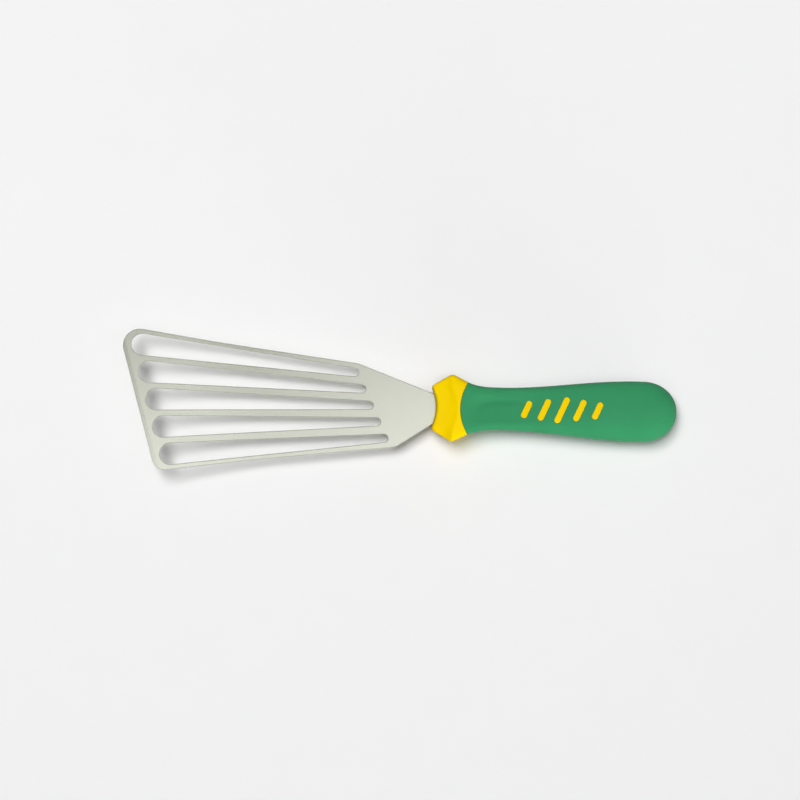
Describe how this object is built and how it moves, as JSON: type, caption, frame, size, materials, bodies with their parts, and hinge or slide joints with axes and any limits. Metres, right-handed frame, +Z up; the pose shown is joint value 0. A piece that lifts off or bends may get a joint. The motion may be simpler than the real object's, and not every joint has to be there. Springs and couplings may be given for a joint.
{
  "type": "slotted fish turner",
  "caption": "Fish turner with a flexible slotted steel blade, slanted upswept front edge and a two-colour moulded handle with finger guard, for lifting and flipping food in a pan.",
  "frame": {"origin": "centre of the bounding box's bottom face, on the surface that the tool lies on", "axes": "+X from the blade's front edge to the butt of the handle, +Y across the blade towards its longer side, +Z up out of the blade's top face"},
  "size_m": [0.2996, 0.076, 0.023],
  "materials": {
    "blade_steel": "fine satin, polished spring steel",
    "core_plastic": "smooth yellow moulding",
    "grip_rubber": "soft matt green"
  },
  "bodies": {
    "root": {"blade": "blade_steel", "handle_core": "core_plastic", "soft_grip": "grip_rubber"}
  },
  "joints": []
}
